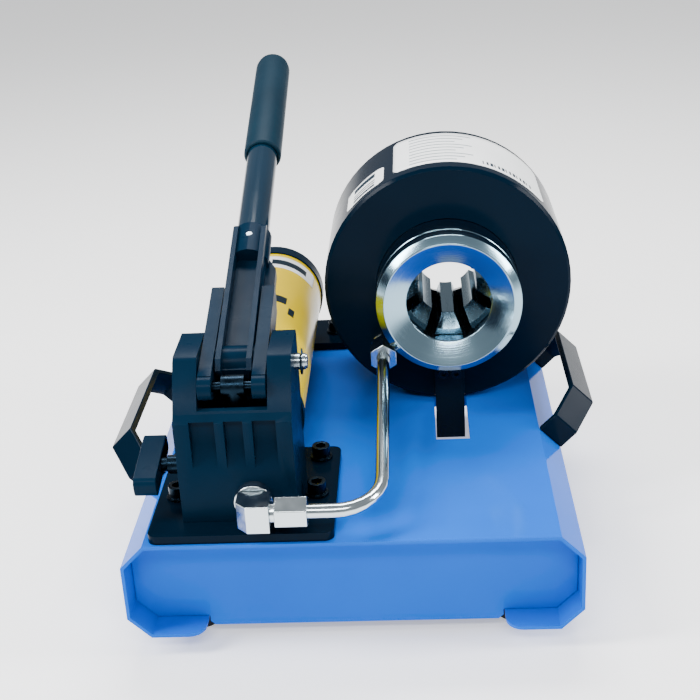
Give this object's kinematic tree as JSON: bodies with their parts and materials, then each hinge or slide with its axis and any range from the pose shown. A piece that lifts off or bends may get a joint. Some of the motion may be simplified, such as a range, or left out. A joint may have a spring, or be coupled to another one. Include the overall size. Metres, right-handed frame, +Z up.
{
  "type": "hydraulic hose crimping machine",
  "caption": "Hand-pumped hose crimper: folded blue base, lever pump with yellow oil reservoir, steel pressure pipe and round head whose sliding nose closes a ring of jaws.",
  "frame": {"origin": "middle of the bounding box in plan, at the level of the feet", "axes": "+Y from the operator side to the back, along the crimping axis; +X to the right of a person in front; +Z up"},
  "size_m": [0.4462, 0.565, 0.3971],
  "materials": {
    "blue_paint": "gloss",
    "black_paint": "gloss",
    "black_composite": "satin",
    "yellow_paint": "gloss",
    "bright_steel": "turned and polished",
    "black_steel": "blackened",
    "foot_rubber": "matte",
    "grip_rubber": "matte",
    "seal_rubber": "matte"
  },
  "bodies": {
    "frame": {"base_channel": "blue_paint", "carry_handle_left": "black_paint", "carry_handle_right": "black_paint", "cover_ring": "black_steel", "elbow_fitting": "bright_steel", "filler_cap": "black_composite", "foot_front_left": "foot_rubber", "foot_front_right": "foot_rubber", "foot_rear_left": "foot_rubber", "foot_rear_right": "foot_rubber", "front_adapter_plate": "black_paint", "front_panel": "blue_paint", "head_cylinder": "black_paint", "head_port_adapter": "bright_steel", "locating_strip": "black_paint", "oil_bladder": "seal_rubber", "outlet_collar": "bright_steel", "pipe_nut_head": "bright_steel", "pipe_nut_pump": "bright_steel", "pivot_clip": "black_steel", "pivot_pin": "bright_steel", "plate_bolt_front_left": "black_steel", "plate_bolt_front_right": "black_steel", "plate_bolt_middle_left": "black_steel", "plate_bolt_middle_right": "black_steel", "plate_bolt_rear_left": "black_steel", "plate_bolt_rear_right": "black_steel", "pressure_pipe": "bright_steel", "pump_body": "black_composite", "rear_adapter_plate": "black_paint", "rear_cover": "black_steel", "rear_panel": "blue_paint", "reservoir_end_cap": "black_composite", "reservoir_tie_rod": "bright_steel", "reservoir_tube": "yellow_paint", "rod_seal": "seal_rubber", "saddle_block_left": "black_paint", "saddle_block_right": "black_paint", "saddle_bolt_left": "black_steel", "saddle_bolt_right": "black_steel", "strip_screw_left": "black_steel", "strip_screw_right": "black_steel"},
    "piston": {"piston_nose": "bright_steel", "piston_seal": "seal_rubber"},
    "lever": {"lever_casting": "black_composite", "lever_tube": "black_paint", "lever_grip": "grip_rubber", "tube_cross_pin": "bright_steel"},
    "plunger": {"plunger": "bright_steel", "plunger_pin": "bright_steel"},
    "release_valve": {"release_stem": "black_steel", "release_knob": "black_composite"},
    "jaw_1": {"jaw_1": "bright_steel"},
    "jaw_2": {"jaw_2": "bright_steel"},
    "jaw_3": {"jaw_3": "bright_steel"},
    "jaw_4": {"jaw_4": "bright_steel"},
    "jaw_5": {"jaw_5": "bright_steel"},
    "jaw_6": {"jaw_6": "bright_steel"},
    "jaw_7": {"jaw_7": "bright_steel"},
    "jaw_8": {"jaw_8": "bright_steel"}
  },
  "joints": [
    {"name": "piston_slide", "type": "slide", "parent": "frame", "child": "piston", "axis": [0, 1, 0], "range_m": [-0.024, 0.03]},
    {"name": "jaw_1_slide", "type": "slide", "parent": "frame", "child": "jaw_1", "axis": [-1, 0, 0], "range_m": [-0.0055, 0.0068]},
    {"name": "jaw_2_slide", "type": "slide", "parent": "frame", "child": "jaw_2", "axis": [-0.7071, 0, 0.7071], "range_m": [-0.0055, 0.0068]},
    {"name": "jaw_3_slide", "type": "slide", "parent": "frame", "child": "jaw_3", "axis": [0, 0, 1], "range_m": [-0.0055, 0.0068]},
    {"name": "jaw_4_slide", "type": "slide", "parent": "frame", "child": "jaw_4", "axis": [0.7071, 0, 0.7071], "range_m": [-0.0055, 0.0068]},
    {"name": "jaw_5_slide", "type": "slide", "parent": "frame", "child": "jaw_5", "axis": [1, 0, 0], "range_m": [-0.0055, 0.0068]},
    {"name": "jaw_6_slide", "type": "slide", "parent": "frame", "child": "jaw_6", "axis": [0.7071, 0, -0.7071], "range_m": [-0.0055, 0.0068]},
    {"name": "jaw_7_slide", "type": "slide", "parent": "frame", "child": "jaw_7", "axis": [0, 0, -1], "range_m": [-0.0055, 0.0068]},
    {"name": "jaw_8_slide", "type": "slide", "parent": "frame", "child": "jaw_8", "axis": [-0.7071, 0, -0.7071], "range_m": [-0.0055, 0.0068]},
    {"name": "lever_hinge", "type": "hinge", "parent": "frame", "child": "lever", "pos_m": [-0.09, -0.1865, 0.2313], "axis": [1, 0, 0], "range_deg": [-14, 28]},
    {"name": "plunger_slide", "type": "slide", "parent": "frame", "child": "plunger", "axis": [0, 0, 1], "range_m": [-0.0155, 0.0078]},
    {"name": "release_turn", "type": "hinge", "parent": "frame", "child": "release_valve", "pos_m": [-0.16, -0.2125, 0.1523], "axis": [-1, 0, 0], "range_deg": [0, 170]}
  ],
  "couplings": [
    {"joint": "jaw_1_slide", "follows": "piston_slide", "ratio": 0.22},
    {"joint": "jaw_2_slide", "follows": "piston_slide", "ratio": 0.22},
    {"joint": "jaw_3_slide", "follows": "piston_slide", "ratio": 0.22},
    {"joint": "jaw_4_slide", "follows": "piston_slide", "ratio": 0.22},
    {"joint": "jaw_5_slide", "follows": "piston_slide", "ratio": 0.22},
    {"joint": "jaw_6_slide", "follows": "piston_slide", "ratio": 0.22},
    {"joint": "jaw_7_slide", "follows": "piston_slide", "ratio": 0.22},
    {"joint": "jaw_8_slide", "follows": "piston_slide", "ratio": 0.22},
    {"joint": "plunger_slide", "follows": "lever_hinge", "m_per_rad": -0.031}
  ]
}
